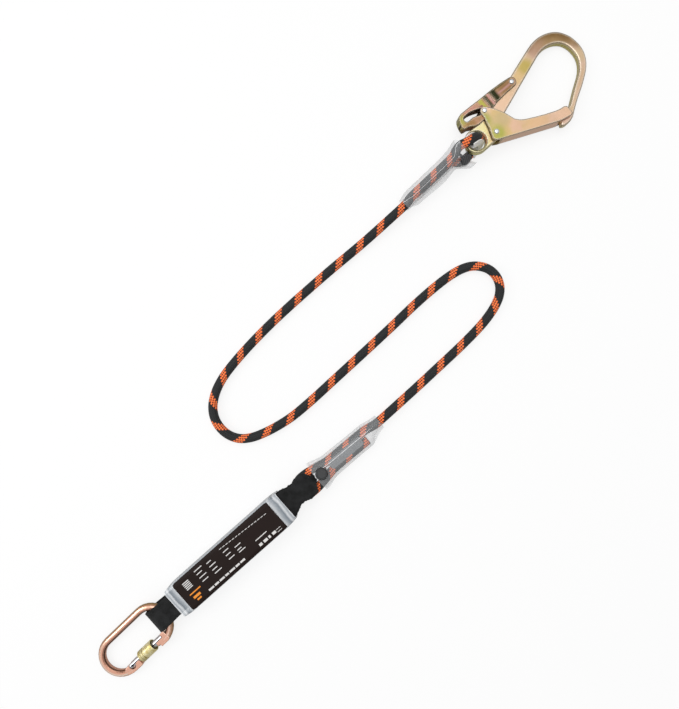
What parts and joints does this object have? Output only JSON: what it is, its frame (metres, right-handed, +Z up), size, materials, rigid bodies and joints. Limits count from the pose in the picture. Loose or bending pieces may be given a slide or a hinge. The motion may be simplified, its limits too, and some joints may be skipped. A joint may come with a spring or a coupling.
{
  "type": "energy-absorbing rope lanyard",
  "caption": "Rope lanyard with an energy absorber pack, a scaffold hook at one end and an oval screw-gate karabiner at the other.",
  "frame": {"origin": "centre of the bottom of the whole part's box, measured without the free rope", "axes": "+X along the absorber pack from the karabiner to the hook, +Z up from the floor the lanyard lies on"},
  "size_m": [0.9606, 0.2576, 0.0412],
  "materials": {
    "rope": "braided sheath, matt black with an orange tracer",
    "thread": "dense bonded sewing thread",
    "clear_pvc": "soft clear plastic, glossy",
    "snap_plastic": "satin black",
    "thimble_plastic": "milky moulded plastic",
    "webbing": "woven black polyester",
    "film": "clear shrink film with creases",
    "label_film": "dark printed film, plain bars",
    "gold_zinc": "iridescent yellow passivated zinc",
    "bright_steel": "bright zinc, polished",
    "spring_steel": "drawn spring wire",
    "copper_zinc": "copper-gold passivated zinc",
    "sleeve_brass": "yellow passivated, satin"
  },
  "bodies": {
    "lanyard": {"rope": "rope", "rope_eye_hook": "rope", "rope_eye_absorber": "rope", "stitching_hook": "thread", "stitching_absorber": "thread", "sleeve_hook": "clear_pvc", "sleeve_absorber": "clear_pvc", "snap_cap_hook": "snap_plastic", "snap_base_hook": "snap_plastic", "snap_cap_absorber": "snap_plastic", "snap_base_absorber": "snap_plastic", "thimble_hook": "thimble_plastic", "webbing_loop_rope": "webbing", "webbing_loop_karabiner": "webbing", "absorber_pack": "webbing", "absorber_cover": "film", "absorber_label": "label_film"},
    "hook": {"hook_body": "gold_zinc", "gate_rivet": "bright_steel", "lever_rivet": "bright_steel", "gate_spring": "spring_steel", "lever_spring": "spring_steel"},
    "hook_gate": {"hook_gate": "gold_zinc", "lock_pin": "bright_steel"},
    "hook_lever": {"hook_lever": "gold_zinc"},
    "karabiner": {"karabiner_body": "copper_zinc", "karabiner_hinge_pin": "bright_steel"},
    "karabiner_gate": {"karabiner_gate": "bright_steel", "gate_plunger": "bright_steel", "karabiner_gate_spring": "spring_steel"},
    "screw_sleeve": {"screw_sleeve": "sleeve_brass"}
  },
  "joints": [
    {"name": "hook_swing", "type": "hinge", "parent": "lanyard", "child": "hook", "pos_m": [0.28771, 0.08135, 0.02121], "axis": [-0.0267, 0.9543, -0.2977], "range_deg": [-70, 4]},
    {"name": "gate_open", "type": "hinge", "parent": "hook", "child": "hook_gate", "pos_m": [0.32236, 0.0738, 0.01831], "axis": [0.0851, 0.0096, 0.9963], "range_deg": [0, 30], "stiffness_Nm_per_rad": 0.35, "springref_deg": -20.05},
    {"name": "lever_squeeze", "type": "hinge", "parent": "hook", "child": "hook_lever", "pos_m": [0.38007, 0.10805, 0.01305], "axis": [0.0851, 0.0096, 0.9963], "range_deg": [0, 6.1], "stiffness_Nm_per_rad": 0.4, "springref_deg": -5.73},
    {"name": "karabiner_swing", "type": "hinge", "parent": "lanyard", "child": "karabiner", "pos_m": [-0.37752, -0.09768, 0.01086], "axis": [-0.0419, 0.9991, 0], "range_deg": [-2, 85]},
    {"name": "karabiner_gate_open", "type": "hinge", "parent": "karabiner", "child": "karabiner_gate", "pos_m": [-0.44777, -0.12029, 0.00688], "axis": [-0.0559, -0.0023, 0.9984], "range_deg": [0, 30], "stiffness_Nm_per_rad": 0.15, "springref_deg": -11.46},
    {"name": "sleeve_travel", "type": "slide", "parent": "karabiner_gate", "child": "screw_sleeve", "axis": [0.9976, 0.0418, 0.056], "range_m": [0, 0.0085]}
  ],
  "couplings": [
    {"joint": "lever_squeeze", "follows": "gate_open", "ratio": 0.2}
  ]
}
